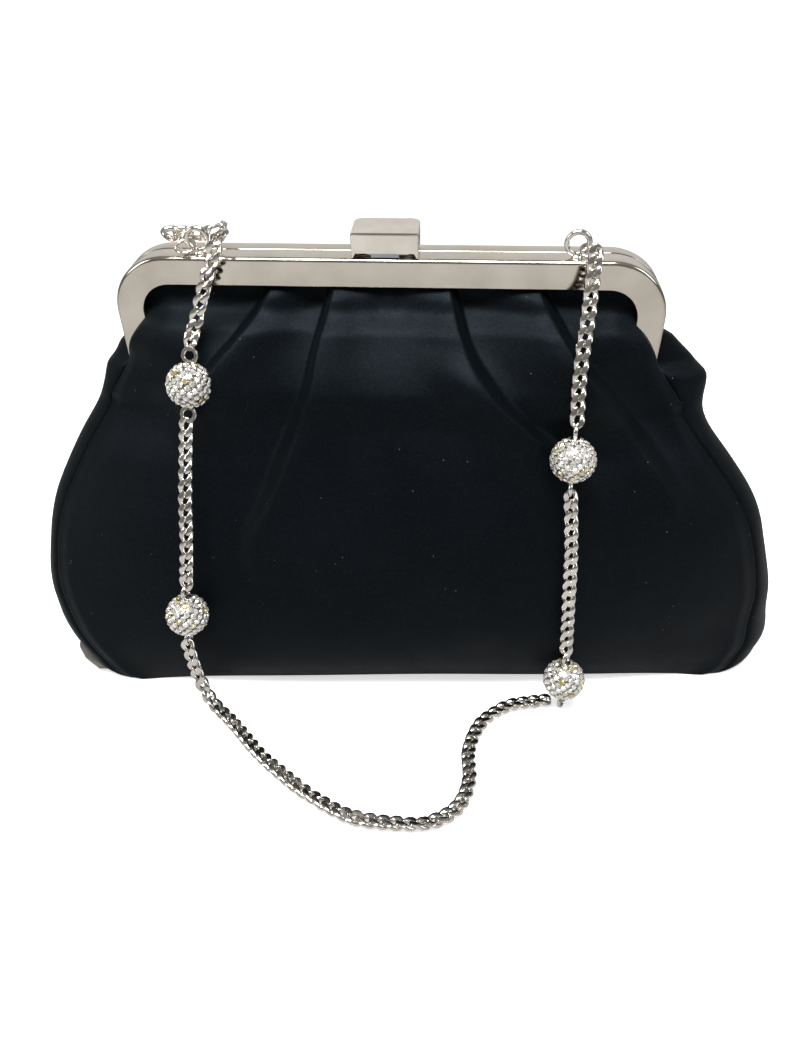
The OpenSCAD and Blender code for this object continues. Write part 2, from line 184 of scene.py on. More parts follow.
def satinCloth(name, deep, light, sheenTint, sheen, rough):
    # close satin weave: fine grain on the piece's own map, soft sheen, a few specks of lint
    material, nodes, links, shader = newMaterial(name)
    where = objectCoords(nodes)
    uv = nodes.new("ShaderNodeUVMap")
    uv.uv_map = "weave"
    cloudy = noise(nodes, links, where, 26, 4)
    cells = nodes.new("ShaderNodeTexVoronoi")
    cells.inputs["Scale"].default_value = 300
    links.new(where, cells.inputs["Vector"])
    lint = ramp(nodes, links, cells.outputs["Distance"], [(0.04, grey(1.0)), (0.06, grey(0.0))])
    some = ramp(nodes, links, cells.outputs["Color"], [(0.70, grey(0.0)), (0.74, grey(1.0))])
    both = nodes.new("ShaderNodeMath")
    both.operation = "MULTIPLY"
    links.new(lint, both.inputs[0])
    links.new(some, both.inputs[1])
    mixed = nodes.new("ShaderNodeMix")
    mixed.data_type = "RGBA"
    links.new(both.outputs[0], mixed.inputs["Factor"])
    links.new(ramp(nodes, links, cloudy, [(0.3, deep), (0.75, light)]), mixed.inputs["A"])
    mixed.inputs["B"].default_value = (0.16, 0.165, 0.17, 1)
    links.new(mixed.outputs["Result"], shader.inputs["Base Color"])
    uneven = noise(nodes, links, where, 60, 4)
    links.new(ramp(nodes, links, uneven, [(0.3, grey(rough - 0.05)), (0.7, grey(rough + 0.06))]),
              shader.inputs["Roughness"])
    # a cool reflection, which the grain takes down to about half
    grain = noise(nodes, links, where, 1600, 3, 0.7)
    links.new(ramp(nodes, links, grain, [(0.36, (0.34, 0.433, 0.505)), (0.64, (0.66, 0.84, 0.98))]),
              shader.inputs["Specular Tint"])
    shader.inputs["Specular IOR Level"].default_value = 0.165
    shader.inputs["Sheen Weight"].default_value = sheen
    shader.inputs["Sheen Roughness"].default_value = 0.38
    shader.inputs["Sheen Tint"].default_value = (*sheenTint, 1)
    threads = nodes.new("ShaderNodeTexWave")
    threads.wave_type = "BANDS"
    threads.bands_direction = "DIAGONAL"
    threads.inputs["Scale"].default_value = 330
    threads.inputs["Distortion"].default_value = 2.2
    threads.inputs["Detail"].default_value = 2
    links.new(uv.outputs["UV"], threads.inputs["Vector"])
    first = bump(nodes, links, threads.outputs["Fac"], None, 0.16, 0.00005)
    bump(nodes, links, noise(nodes, links, where, 1500, 2), shader, 0.22, 0.00008, first)
    return material


blackSatin = satinCloth("blackSatin", (0.0003, 0.0007, 0.0012), (0.0012, 0.0019, 0.0028),
                        (0.50, 0.62, 0.72), 0.02, 0.52)
blackLining = satinCloth("blackLining", (0.006, 0.006, 0.007), (0.011, 0.011, 0.012),
                         (0.5, 0.5, 0.55), 0.05, 0.5)


def stoneGlass():
    # foiled stones: bright clear faces, each with its own slight yellow from the map's first coordinate
    material, nodes, links, shader = newMaterial("foiledStones")
    uv = nodes.new("ShaderNodeUVMap")
    uv.uv_map = "weave"
    split = nodes.new("ShaderNodeSeparateXYZ")
    links.new(uv.outputs["UV"], split.inputs["Vector"])
    foil = [(0.0, (0.94, 0.93, 0.90)), (0.55, (0.90, 0.88, 0.82)), (0.85, (0.85, 0.77, 0.52)),
            (1.0, (0.62, 0.48, 0.18))]
    links.new(ramp(nodes, links, split.outputs["X"], foil), shader.inputs["Base Color"])
    shader.inputs["Metallic"].default_value = 0.72
    shader.inputs["Roughness"].default_value = 0.07
    shader.inputs["Coat Weight"].default_value = 0.8
    shader.inputs["Coat Roughness"].default_value = 0.03
    return material


stones = stoneGlass()


def plainRough(name, light, dark, scale, rough):
    material, nodes, links, shader = newMaterial(name)
    where = objectCoords(nodes)
    fibre = noise(nodes, links, where, scale, 6, 0.7)
    links.new(ramp(nodes, links, fibre, [(0.3, dark), (0.7, light)]), shader.inputs["Base Color"])
    shader.inputs["Roughness"].default_value = rough
    bump(nodes, links, fibre, shader, 0.4, 0.0002)
    return material


paperCord = plainRough("paperCord", (0.42, 0.33, 0.22), (0.26, 0.2, 0.13), 900, 0.8)
greyBoard = plainRough("greyBoard", (0.2, 0.19, 0.17), (0.12, 0.11, 0.1), 600, 0.85)

print("camera, floor and light")
view = {"place": (0.0236, -0.2921, 0.2074), "pitch": 26.9, "turn": 3.9, "lens": 28.21}
cameraData = bpy.data.cameras.new("camera")
cameraData.lens = view["lens"]
cameraData.sensor_width = 36
cameraData.clip_start = 0.01
camera = bpy.data.objects.new("camera", cameraData)
camera.location = view["place"]
camera.rotation_euler = (math.radians(90 - view["pitch"]), 0, math.radians(view["turn"]))
scene.collection.objects.link(camera)
scene.camera = camera

studio = {"near": -2.5, "halfWide": 3, "coveRadius": 0.5, "coveBack": 1.1, "wallTop": 2.4}


def studioCove():
    # a floor strip along y that turns up through a quarter circle into a wall
    arc = np.linspace(0, math.pi / 2, 24)
    r, back = studio["coveRadius"], studio["coveBack"]
    y = np.concatenate([[studio["near"]], back + r * np.sin(arc), [back + r]])[:, None]
    z = np.concatenate([[0], r - r * np.cos(arc), [studio["wallTop"]]])[:, None]
    x = np.linspace(-studio["halfWide"], studio["halfWide"], 9)[None]
    grid = np.stack(np.broadcast_arrays(x, y, z), -1)
    material, nodes, links, shader = newMaterial("palePaper")
    shader.inputs["Base Color"].default_value = (0.9, 0.9, 0.9, 1)
    shader.inputs["Roughness"].default_value = 0.9
    shader.inputs["Specular IOR Level"].default_value = 0.1
    shader.inputs["Emission Color"].default_value = (1, 1, 1, 1)
    shader.inputs["Emission Strength"].default_value = 0.62
    # the dimmer paper is what the bag itself reflects
    dim = nodes.new("ShaderNodeBsdfPrincipled")
    dim.inputs["Base Color"].default_value = (*grey(0.42), 1)
    dim.inputs["Roughness"].default_value = 1
    dim.inputs["Emission Strength"].default_value = 1
    tall = nodes.new("ShaderNodeSeparateXYZ")
    links.new(objectCoords(nodes), tall.inputs["Vector"])
    links.new(ramp(nodes, links, tall.outputs["Z"], [(0.0, grey(0.0)), (0.35, grey(0.42)), (1.0, grey(0.6))]),
              dim.inputs["Emission Color"])
    rays = nodes.new("ShaderNodeLightPath")
    both = nodes.new("ShaderNodeMixShader")
    links.new(rays.outputs["Is Camera Ray"], both.inputs["Fac"])
    links.new(dim.outputs["BSDF"], both.inputs[1])
    links.new(shader.outputs["BSDF"], both.inputs[2])
    links.new(both.outputs["Shader"], nodes["Material Output"].inputs["Surface"])
    floor = addMesh("studioFloor", grid.reshape(-1, 3) / mm, gridFaces(*grid.shape[:2]), material)


studioCove()


def areaLight(name, place, aim, size, power):
    data = bpy.data.lights.new(name, "AREA")
    data.shape = "RECTANGLE"
    data.size, data.size_y = size
    data.energy = power
    light = bpy.data.objects.new(name, data)
    light.location = place
    light.rotation_euler = (Vector(aim) - Vector(place)).to_track_quat("-Z", "Y").to_euler()
    scene.collection.objects.link(light)


areaLight("topSoftbox", (-0.05, -0.45, 0.95), (0, 0, 0.1), (0.6, 0.4), 15)
areaLight("leftSoftbox", (-0.8, -0.45, 0.5), (0, 0, 0.08), (0.35, 0.5), 2.0)
areaLight("rightSoftbox", (0.8, -0.35, 0.55), (0, 0, 0.08), (0.3, 0.5), 1.6)

world = bpy.data.worlds.new("studioAir")
scene.world = world
world.use_nodes = True
worldNodes, worldLinks = world.node_tree.nodes, world.node_tree.links
background = worldNodes["Background"]
direction = worldNodes.new("ShaderNodeTexCoord")
height = worldNodes.new("ShaderNodeSeparateXYZ")
worldLinks.new(direction.outputs["Generated"], height.inputs["Vector"])
sky = worldNodes.new("ShaderNodeValToRGB")
sky.color_ramp.elements[0].position, sky.color_ramp.elements[0].color = 0.0, (0.62, 0.60, 0.57, 1)
sky.color_ramp.elements[1].position, sky.color_ramp.elements[1].color = 1.0, (0.95, 0.95, 0.97, 1)
sky.color_ramp.elements.new(0.12).color = (0.50, 0.48, 0.45, 1)
sky.color_ramp.elements.new(0.45).color = (0.66, 0.65, 0.63, 1)
worldLinks.new(height.outputs["Z"], sky.inputs["Fac"])
worldLinks.new(sky.outputs["Color"], background.inputs["Color"])
background.inputs["Strength"].default_value = 0.32
scene.view_settings.view_transform = "Standard"

print("strap")
balls = {
    "leftUpper": {"at": (-65, -33, 124), "swing": -10, "tilt": 5, "turn": 0, "node": "left_upper"},
    "leftLower": {"at": (-70.5, -49, 42.5), "swing": -2, "tilt": 3, "turn": 80, "node": "left_lower"},
    "rightUpper": {"at": (64, -38, 102.5), "swing": -4, "tilt": 0, "turn": 80, "node": "right_upper"},
    "rightLower": {"at": (68.5, -41, 14.5), "swing": 0, "tilt": 0, "turn": 60, "node": "right_lower"},
}

# routes in metres, the same points as the part's source
leftUpperRoute = [(-.071, -.015, .170), (-.0665, -.0105, .1695), (-.0605, -.0095, .1695),
                  (-.0555, -.012, .1705), (-.053, -.0175, .172), (-.0535, -.024, .170),
                  (-.055, -.025, .164), (-.058, -.026, .156), (-.062, -.026, .145), (-.064, -.029, .138)]
leftLowerRoute = [(-.067, -.035, .110), (-.068, -.037, .098), (-.0685, -.041, .085),
                  (-.0685, -.045, .071), (-.0695, -.048, .056)]
frontRoute = [(-.0715, -.0495, .0285), (-.0705, -.050, .023), (-.069, -.050, .015),
              (-.0665, -.051, .0085), (-.062, -.054, .0045), (-.054, -.061, .003), (-.041, -.076, .003),
              (-.030, -.086, .003), (-.020, -.094, .003), (-.006, -.102, .003), (.008, -.104, .003),
              (.020, -.103, .003), (.029, -.096, .003), (.033, -.084, .003), (.033, -.069, .003),
              (.038, -.054, .003), (.048, -.044, .003), (.0605, -.040, .003)]
rightLowerRoute = [(.068, -.041, .029), (.067, -.041, .050), (.0665, -.041, .062),
                   (.0655, -.040, .077), (.0645, -.0385, .0885)]
rightUpperRoute = [(.064, -.037, .117), (.064, -.034, .127), (.0645, -.0315, .136),
                   (.0655, -.0285, .147), (.066, -.0265, .158), (.0665, -.025, .166)]

link = {"halfLength": 2.7, "halfWidth": 1.6, "twist": 0.95, "wire": 0.98, "flat": 1.15, "pitch": 4.3,
        "steps": 20, "sides": 10}


def circle(angles, a, b):
    # a cos t + b sin t at every angle, for each pair of directions
    return np.cos(angles)[None, :, None] * a[:, None] + np.sin(angles)[None, :, None] * b[:, None]


def oneLink():
    # centreline (a cos t, b sin t, c sin 2t) with a round section, cut flat at two levels of the normal
    t = np.linspace(0, 2 * math.pi, link["steps"], endpoint=False)
    a, b, c = link["halfLength"], link["halfWidth"], link["twist"]
    centre = np.stack([a * np.cos(t), b * np.sin(t), c * np.sin(2 * t)], 1)
    along = unit(np.stack([-a * np.sin(t), b * np.cos(t), 2 * c * np.cos(2 * t)], 1))
    side = unit(np.cross(along, np.array([0, 0, 1.0])))
    up = np.cross(side, along)
    s = np.linspace(0, 2 * math.pi, link["sides"], endpoint=False) + math.pi / link["sides"]
    ring = centre[:, None] + link["wire"] * circle(s, side, up)
    ring[..., 2] = np.clip(ring[..., 2], -link["flat"], link["flat"])
    return ring.reshape(-1, 3), gridFaces(link["steps"], link["sides"], True, True)[:, ::-1]


def chainNormal(points):
    # outward from the pouch while hanging, straight up once on the floor
    lying = smooth((18 - points[:, 2]) / 14)[:, None]
    return unit(np.array([0, -1.0, 0.25]) * (1 - lying) + np.array([0, 0, 1.0]) * lying)


def chainStretch(name, node, route, wobble, reach=0.01):
    # equal links along the route, each twisted a little by two added sine waves
    path, length = splineRoute(np.array(route) / mm, 1.0)
    path = np.vstack([path, path[-1] + unit(path[-1] - path[-2]) * reach])
    count = int(round(length / link["pitch"])) + 1
    at = np.linspace(0, len(path) - 1, count)
    centre = sampled(at, np.arange(len(path)), path)
    along = unit(sampled(at, np.arange(len(path)), np.gradient(path, axis=0)))
    normal = chainNormal(centre)
    normal = unit(normal - along * (normal * along).sum(1, keepdims=True))
    side = np.cross(normal, along)
    order = np.arange(count)[:, None]
    spin = np.radians(wobble * np.sin(order * 0.83) + wobble * 0.6 * np.sin(order * 2.1 + 1))
    side, normal = side * np.cos(spin) + normal * np.sin(spin), normal * np.cos(spin) - side * np.sin(spin)
    shape, faces = oneLink()
    points = (centre[:, None] + shape[None, :, :1] * along[:, None] + shape[None, :, 1:2] * side[:, None]
              + shape[None, :, 2:] * normal[:, None])
    if name == "chainFront":
        points[..., 2] = np.maximum(points[..., 2], 0.15)
    allFaces = (faces[None] + np.arange(count)[:, None, None] * len(shape)).reshape(-1, 4)
    piece = addMesh(name, points.reshape(-1, 3), allFaces, chainSilver)
    # keeps the edge of the cut flats crisp
    piece.data.set_sharp_from_angle(angle=math.radians(38))
    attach(piece, "bag")
    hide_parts(node)
    print(name, "length", round(float(length), 1), "mm,", count, "links")


def turnMatrix(swing, tilt):
    # a turn about x by swing, then about y by tilt, both in degrees
    a, b = math.radians(swing), math.radians(tilt)
    rx = np.array([[1, 0, 0], [0, math.cos(a), -math.sin(a)], [0, math.sin(a), math.cos(a)]])
    ry = np.array([[math.cos(b), 0, math.sin(b)], [0, 1, 0], [-math.sin(b), 0, math.cos(b)]])
    return ry @ rx


def torus(centre, axisA, axisB, radius, wire, steps=40, sides=12, flat=None):
    # a ring in the plane of two unit vectors, with its section flattened across the plane if asked
    t = np.linspace(0, 2 * math.pi, steps, endpoint=False)[:, None]
    s = np.linspace(0, 2 * math.pi, sides, endpoint=False)[None, :]
    third = np.cross(axisA, axisB)
    high = wire * np.sin(s)
    if flat:
        high = np.clip(high, -flat, flat)
    out = radius + wire * np.cos(s)
    around = np.cos(t)[..., None] * axisA + np.sin(t)[..., None] * axisB
    points = np.array(centre)[None, None] + out[..., None] * around + high[..., None] * third
    return points.reshape(-1, 3), gridFaces(steps, sides, True, True)


def turnedRings(x, y, radii, heights, sides, sign=1):
    # rings of the given radii at the given heights, about an upright line
    t = np.linspace(0, 2 * math.pi, sides, endpoint=False)[None, :]
    r, z = np.array(radii)[:, None], np.array(heights)[:, None] * sign
    points = np.stack([x + r * np.cos(t), y + r * np.sin(t), z * np.ones_like(t)], -1)
    faces = gridFaces(len(radii), sides, False, True)
    return points.reshape(-1, 3), faces if sign > 0 else faces[:, ::-1]


def joinParts(parts):
    points, faces, start = [], [], 0
    for p, f in parts:
        points.append(p)
        faces += (np.asarray(f) + start).tolist()
        start += len(p)
    return np.vstack(points), faces


def spiralDirections(count):
    # the golden spiral spreads directions evenly over a sphere
    k = np.arange(count) + 0.5
    z = 1 - 2 * k / count
    turn = k * math.pi * (3 - math.sqrt(5))
    r = np.sqrt(1 - z * z)
    return np.stack([r * np.cos(turn), r * np.sin(turn), z], 1)


def acrossPair(out):
    # two unit vectors square to each direction and to each other
    helper = np.where(np.abs(out[:, 2:]) < 0.9, np.array([0, 0, 1.0]), np.array([1.0, 0, 0]))
    a = unit(np.cross(helper, out))
    return a, np.cross(out, a)


# a ball's core, its stones, and where the eyes at the poles leave no room for them
pave = {"core": 7.0, "stoneAt": 7.1, "stone": 1.06, "rise": 0.66, "count": 134, "poleFree": 0.965}
# three rings of points for each stone: girdle foot, girdle and table edge
cut = {"sides": 8, "radii": (1.0, 1.0, 0.56), "heights": (0.0, 0.28, 1.0), "turns": (0, 0, math.pi / 8)}
bead = {"at": 7.6, "foot": 7.3, "tip": 7.72, "radius": 0.4, "neck": 0.6, "twist": 0.6, "sides": 5}
eye = {"at": 9.9, "radius": 2.2, "wire": 0.78, "flat": 0.66}
cup = {"radii": (1.9, 1.9, 1.5, 0.01), "heights": (6.6, 7.5, 7.75, 7.8)}


def stoneFaces(n):
    # side wall, crown triangles and flat table of one stone with three rings of n points
    faces = []
    for i in range(n):
        j = (i + 1) % n
        faces.append([i, j, n + j, n + i])
        faces.append([n + i, n + j, 2 * n + i])
        faces.append([n + j, 2 * n + j, 2 * n + i])
    return faces + [[2 * n + i for i in range(n)]]


def ballStones(name, out, place, seed):
    # round stones on the ball, each turned and tipped a little at random
    local = np.random.default_rng(seed)
    count = len(out)
    a, b = acrossPair(out)
    spin = local.uniform(0, 2 * math.pi, count)[:, None]
    a, b = a * np.cos(spin) + b * np.sin(spin), b * np.cos(spin) - a * np.sin(spin)
    nudge = unit(out + local.normal(0, 0.03, (count, 3))) - out
    k = np.linspace(0, 2 * math.pi, cut["sides"], endpoint=False)
    rings = [out[:, None] * (pave["stoneAt"] + h * pave["rise"]) + pave["stone"] * r * circle(k + w, a, b)
             + nudge[:, None] * h
             for r, h, w in zip(cut["radii"], cut["heights"], cut["turns"])]
    each, oneStone = 3 * cut["sides"], stoneFaces(cut["sides"])
    faces = [[v + n * each for v in f] for n in range(count) for f in oneStone]
    piece = addMesh(name, place(np.concatenate(rings, 1).reshape(-1, 3)), faces, stones, soft=False)
    tint = np.repeat(local.uniform(0, 1, count) ** 1.6, each)
    addUv(piece, np.stack([tint, tint], 1))
    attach(piece, "bag")
    return piece


def beadGrains(out):
    # small pointed grains wherever the stones leave room: two rings of points and a tip
    beadOut = spiralDirections(pave["count"] * 3)
    near = (beadOut @ out.T).max(1)
    beadOut = beadOut[near < math.cos(pave["stone"] / bead["foot"])]
    a, b = acrossPair(beadOut)
    n = bead["sides"]
    k = np.linspace(0, 2 * math.pi, n, endpoint=False)
    low = beadOut[:, None] * bead["foot"] + bead["radius"] * circle(k, a, b)
    high = beadOut[:, None] * bead["at"] + bead["neck"] * bead["radius"] * circle(k + bead["twist"], a, b)
    tip = beadOut[:, None] * bead["tip"]
    faces = []
    for i in range(n):
        j = (i + 1) % n
        faces += [[i, j, n + i], [j, n + j, n + i], [n + i, n + j, 2 * n]]
    start = np.arange(len(beadOut))[:, None, None] * (2 * n + 1)
    return np.concatenate([low, high, tip], 1).reshape(-1, 3), (np.array(faces)[None] + start).reshape(-1, 3)


def ballSetting(name, node, out, place):
    # a sphere for the core, r (sin t cos p, sin t sin p, cos t), with the grains on it
    theta = np.linspace(0, math.pi, 33)[:, None]
    phi = np.linspace(0, 2 * math.pi, 64, endpoint=False)[None, :]
    core = pave["core"] * np.stack([np.sin(theta) * np.cos(phi), np.sin(theta) * np.sin(phi),
                                    np.cos(theta) * np.ones_like(phi)], -1)
    coreFaces = gridFaces(33, 64, False, True)[:, ::-1]
    points, faces = joinParts([(core.reshape(-1, 3), coreFaces), beadGrains(out)])
    piece = addMesh(name, place(points), faces, coreSilver)
    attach(piece, "bag")
    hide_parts(node)
    return piece


def ballEyes(name, node, turn, place):
    # flat cast eyes at both ends of the rod through the ball, each on a small cup
    plane = np.array([math.cos(turn), math.sin(turn), 0.0])
    parts = []
    for end in (1, -1):
        parts.append(torus((0, 0, end * eye["at"]), plane, np.array([0, 0, 1.0]), eye["radius"], eye["wire"],
                           flat=eye["flat"]))
        parts.append(turnedRings(0, 0, cup["radii"], cup["heights"], 24, end))
    points, faces = joinParts(parts)
    piece = addMesh(name, place(points), faces, chainSilver)
    piece.data.set_sharp_from_angle(angle=math.radians(40))
    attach(piece, "bag")
    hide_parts(node)
    return piece


def stoneSet(name, spec, seed):
    matrix = turnMatrix(spec["swing"], spec["tilt"])
    centre = np.array(spec["at"], float)

    def place(points):
        return points @ matrix.T + centre

    out = spiralDirections(pave["count"])
    out = out[np.abs(out[:, 2]) < pave["poleFree"]]
    return [ballStones(name + "Stones", out, place, seed),
            ballSetting(name + "Setting", spec["node"] + "_ball", out, place),
            ballEyes(name + "Eyes", spec["node"] + "_eyes", math.radians(spec["turn"]), place)]


ballPieces = {name: stoneSet(name + "Ball", spec, 11 + n) for n, (name, spec) in enumerate(balls.items())}

# the frame's lean about the line of its hinges, and their height
lean = math.radians(12)
hingeZ = 111.0


def leaning(points):
    # from the frame's axes (x, back, up) to the floor's axes
    p = np.asarray(points, float)
    x, y, z = p[..., 0], p[..., 1], p[..., 2]
    c, s = math.cos(lean), math.sin(lean)
    return np.stack([x, y * c - z * s, hingeZ + z * c + y * s], -1)


# the upright loops, their round feet and the jump rings, in the frame's axes
loop = {"x": 62, "y": -4.05, "z": 59.6, "radius": 3.6, "wire": 0.9}
loopFoot = {"radii": (2.0, 1.9, 1.3, 0.01), "heights": (55.0, 55.4, 55.9, 56.0)}
jumpRing = {"x": 66, "y": -5.2, "z": 57.6, "radius": 3.2, "wire": 0.62, "tilt": 20}


def frameRings(side):
    name = "left" if side < 0 else "right"
    ahead = np.array([1.0, 0, 0])
    upright = torus((side * loop["x"], loop["y"], loop["z"]), ahead, np.array([0, 0, 1.0]),
                    loop["radius"], loop["wire"], 56, 16)
    foot = turnedRings(side * loop["x"], loop["y"], loopFoot["radii"], loopFoot["heights"], 32)
    points, faces = joinParts([upright, foot])
    loopPiece = addMesh(name + "Loop", leaning(points), faces, chainSilver)
    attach(loopPiece, "bag")
    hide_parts(name + "_chain_loop")
    a = math.radians(jumpRing["tilt"])
    tilted = np.array([0, math.cos(a), math.sin(a)])
    points, faces = torus((side * jumpRing["x"], jumpRing["y"], jumpRing["z"]), ahead, tilted,
                          jumpRing["radius"], jumpRing["wire"], 48, 12)
    ring = addMesh(name + "JumpRing", leaning(points), faces, chainSilver)
    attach(ring, "bag")
    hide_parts(name + "_jump_ring")
    return ring


leftRing = frameRings(-1)
rightRing = frameRings(1)

chainStretch("chainLeftUpper", "chain_left_upper", leftUpperRoute, 14)
chainStretch("chainLeftLower", "chain_left_lower", leftLowerRoute, 7)
chainStretch("chainFront", "chain_front", frontRoute, 9, 1.0)
chainStretch("chainRightLower", "chain_right_lower", rightLowerRoute, 7)
chainStretch("chainRightUpper", "chain_right_upper", rightUpperRoute,
             9)

print("pouch")
pouch = {"halfWidth": 148.0, "wideZ": 25.0, "halfDepth": 42.0, "fullZ": 38.0, "tuck": 24.0, "turn": 0.08,
         "turnEnd": 90.0, "foot": 0.6, "topZ": 157.0, "columns": 380, "rows": 210}
# small swells of the outline: how much, at what height and how far up and down
outlineSwells = ((2.6, 72, 17), (-2, 108, 12), (-1.2, 28, 10))


def quarterArc(t):
    # the height of a quarter circle over its base
    return np.sqrt(np.maximum(0, 1 - (1 - np.clip(t, 0, 1)) ** 2))


def halfWidth(z):
    # a quarter arc up to the widest place, then a power curve inwards, with a few bell-shaped swells
    w, wide = pouch["halfWidth"], pouch["wideZ"]
    narrowing = w - 46 * np.maximum((z - wide) / 102, 0) ** 1.6
    plain = np.where(z < wide, lerp(w - 20, w, quarterArc(z / wide)), narrowing)
    swells = sum(much * np.exp(-((z - at) / far) ** 2) for much, at, far in outlineSwells)
    return plain + swells - 1.5 * (1 - smooth((z - 18) / 20)) + 3 * (1 - smooth(z / 10))


def middleReach(z, top, power):
    d, full = pouch["halfDepth"], pouch["fullZ"]
    return np.where(z < full, lerp(d - pouch["tuck"], d, quarterArc(z / full)),
                    d - (d - top) * np.maximum((z - full) / (156 - full), 0) ** power)


def channelY(z, side):
    return side * 4.05 / math.cos(lean) - (z - hingeZ) * math.tan(lean)


def heldX(z):
    # half width of the cloth in the frame's channel, round the frame's corner
    rise = (z - hingeZ) / math.cos(lean) - 35
    return 72 + np.where(rise < 0, 14, np.sqrt(np.maximum(196 - rise * rise, 0)))


def seamY(z):
    return lerp(26, 12, smooth(z / 110))


def held(z):
    return smooth((z - 123) / 12)


# beside the frame's legs the cloth's edge follows these lines: heights, half widths, depths
overLegs = {"z": (110, 116, 122, 127, 131, 135, 139, 143, 147, 152),
            "x": (105.6, 101.5, 97.0, 93.2, 92.4, 90.4, 87.0, 83.4, 84.5, 84.5),
            "y": (-12, -12, -12.2, -12.9, -13.7, -14.5, -15.2, -14.4, -12.9, -13.9)}
behindLegs = {"z": (110, 116, 122, 127, 132, 137, 141, 145, 149),
              "x": (105.6, 103.5, 101.5, 98.5, 94.5, 90, 86.5, 86, 85.5),
              "y": (12, 11.5, 10.5, 9.5, 7.8, 4.6, 1.2, -1.9, -2.8)}


def spread(z, line, part):
    # straight lines between the listed heights, averaged over a few millimetres to round the corners
    steps = np.linspace(-2.5, 2.5, 7)
    return np.mean([np.interp(z + s, line["z"], line[part]) for s in steps], 0)


def edgeX(z, side):
    line = overLegs if side < 0 else behindLegs
    free = halfWidth(z) - lerp(16, 8, smooth(z / 60))
    return lerp(lerp(free, spread(z, line, "x"), smooth((z - 110) / 4)), heldX(z), smooth((z - 146) / 5))


def edgeY(z, side):
    line = overLegs if side < 0 else behindLegs
    beside = lerp(side * seamY(z), spread(z, line, "y"), smooth((z - 110) / 4))
    return lerp(beside, channelY(z, side) + side * 1.1, smooth((z - 146) / 5))


def fullness(u, z):
    return np.maximum(1 - np.abs(u) ** 2.4, 0) ** lerp(1, 1.6, smooth((z - 90) / 30))


# how far the cloth has slid to the right at each height
slump = {"z": (0, 14, 24, 34, 44, 60, 80, 100, 130), "x": (15, 13.0, 9.8, 8.0, 6.4, 4.6, 3.4, 1.4, 0.8)}


def turned(x, y, z):
    # the slumped foot stands a little turned and pushed aside under the frame
    aside = spread(z, slump, "x") * (1 - held(z))
    turn = pouch["turn"] * x * (1 - smooth(z / pouch["turnEnd"]))
    return np.stack([x + aside, y + turn, z * np.ones_like(x)], -1)


# each pleat: x of its edge at heights z, the side it faces, its depth and the height where it dies out
pleats = [
    {"z": (157, 138, 120, 104, 85, 66), "x": (-16, -21, -25, -31, -40, -52), "out": -1, "deep": 4.4,
     "end": 52},
    {"z": (157, 143, 126, 110), "x": (-36, -44, -60, -72), "out": -1, "deep": 4.0, "end": 98},
    {"z": (157, 142, 128, 113, 104, 94), "x": (20, 24, 30, 42, 54, 66), "out": 1, "deep": 4.2, "end": 86},
    {"z": (157, 142, 129, 117, 106, 93, 80), "x": (48, 57, 66, 75, 84, 93, 101), "out": 1, "deep": 4.4,
     "end": 74},
]
fold = {"inner": 12.0, "outer": 13.0, "sink": 0.7, "crisp": 3.2, "slack": 7.5}
# a long soft ridge below the right inner fold
ridge = {"top": 138, "long": 50, "fromX": 19, "toX": 55, "slant": 0.75, "high": 2.6, "wide": 8, "end": 82}


def pleatRise(x, z):
    # on the inner side the cloth swells towards the edge and drops over it, then eases back on the outer side
    rise = np.zeros_like(x)
    for p in pleats:
        order = np.argsort(p["z"])
        heights, places = np.array(p["z"], float)[order], np.array(p["x"], float)[order]
        edge = np.mean([np.interp(z + d, heights, places) for d in np.linspace(-7, 7, 9)], 0)
        s = (x - edge) * p["out"]
        fade = smooth((z - p["end"]) / (150 - p["end"])) ** 0.4
        drop = lerp(fold["crisp"], fold["slack"], smooth((146 - z) / 50))
        inner = np.exp(-(np.minimum(s, 0) / fold["inner"]) ** 2)
        outer = -fold["sink"] * np.exp(-(np.maximum(s - drop, 0) / fold["outer"]) ** 2)
        rise += p["deep"] * fade * lerp(inner, outer, smooth(s / drop))
    down = np.clip((ridge["top"] - z) / ridge["long"], 0, 1)
    away = (x - lerp(ridge["fromX"], ridge["toX"], down)) * ridge["slant"]
    ends = smooth((ridge["top"] - z) / 14) * smooth((z - ridge["end"]) / 16)
    rise += ridge["high"] * np.exp(-(away / ridge["wide"]) ** 2) * ends
    return rise


def softWaves(x, z, seed):
    # a few long sine waves added, for the slack of padded cloth
    local = np.random.default_rng(seed)
    total = np.zeros_like(x)
    for _ in range(7):
        kx, kz, shift = local.uniform(-0.06, 0.06), local.uniform(-0.05, 0.05), local.uniform(0, 6.28)
        total += np.sin(kx * x + kz * z + shift)
    return total / 7


def gatherRipple(x, z):
    # small gathers just under the frame
    return 0.16 * np.sin(x * 0.55 + 2.3 * np.sin(x * 0.11)) * smooth((z - 138) / 12) * smooth((157 - z) / 4)


def seamPinch(u):
    # the cloth draws in over the last part of the panel towards the seam
    return smooth((np.abs(u) - 0.955) / 0.045)


def softLimit(y, least):
    # the larger of the two, with the corner rounded: least + k ln(1 + e^((y - least) / k))
    k = 3.2
    return least + k * np.logaddexp(0, (y - least) / k)


def emerge(z):
    # 0.45 d^2 / (d + 5) + 0.012 d^2 for a depth d under the bar
    under = np.maximum(154.5 - z, 0)
    return 0.45 * under ** 2 / (under + 5) + 0.012 * under ** 2


def clothLift(x, z, seed):
    # the slack's waves and the gathers under the frame
    return 1.6 * softWaves(x, z, seed) * smooth((150 - z) / 30) + gatherRipple(x, z)


shoulder = {"swell": 7.5, "x": 62, "wide": 20}
edgeRoll = 3.6
middleTop = {"frontY": 14.9, "frontPower": 1.9, "backY": -4.2, "backPower": 1.82}


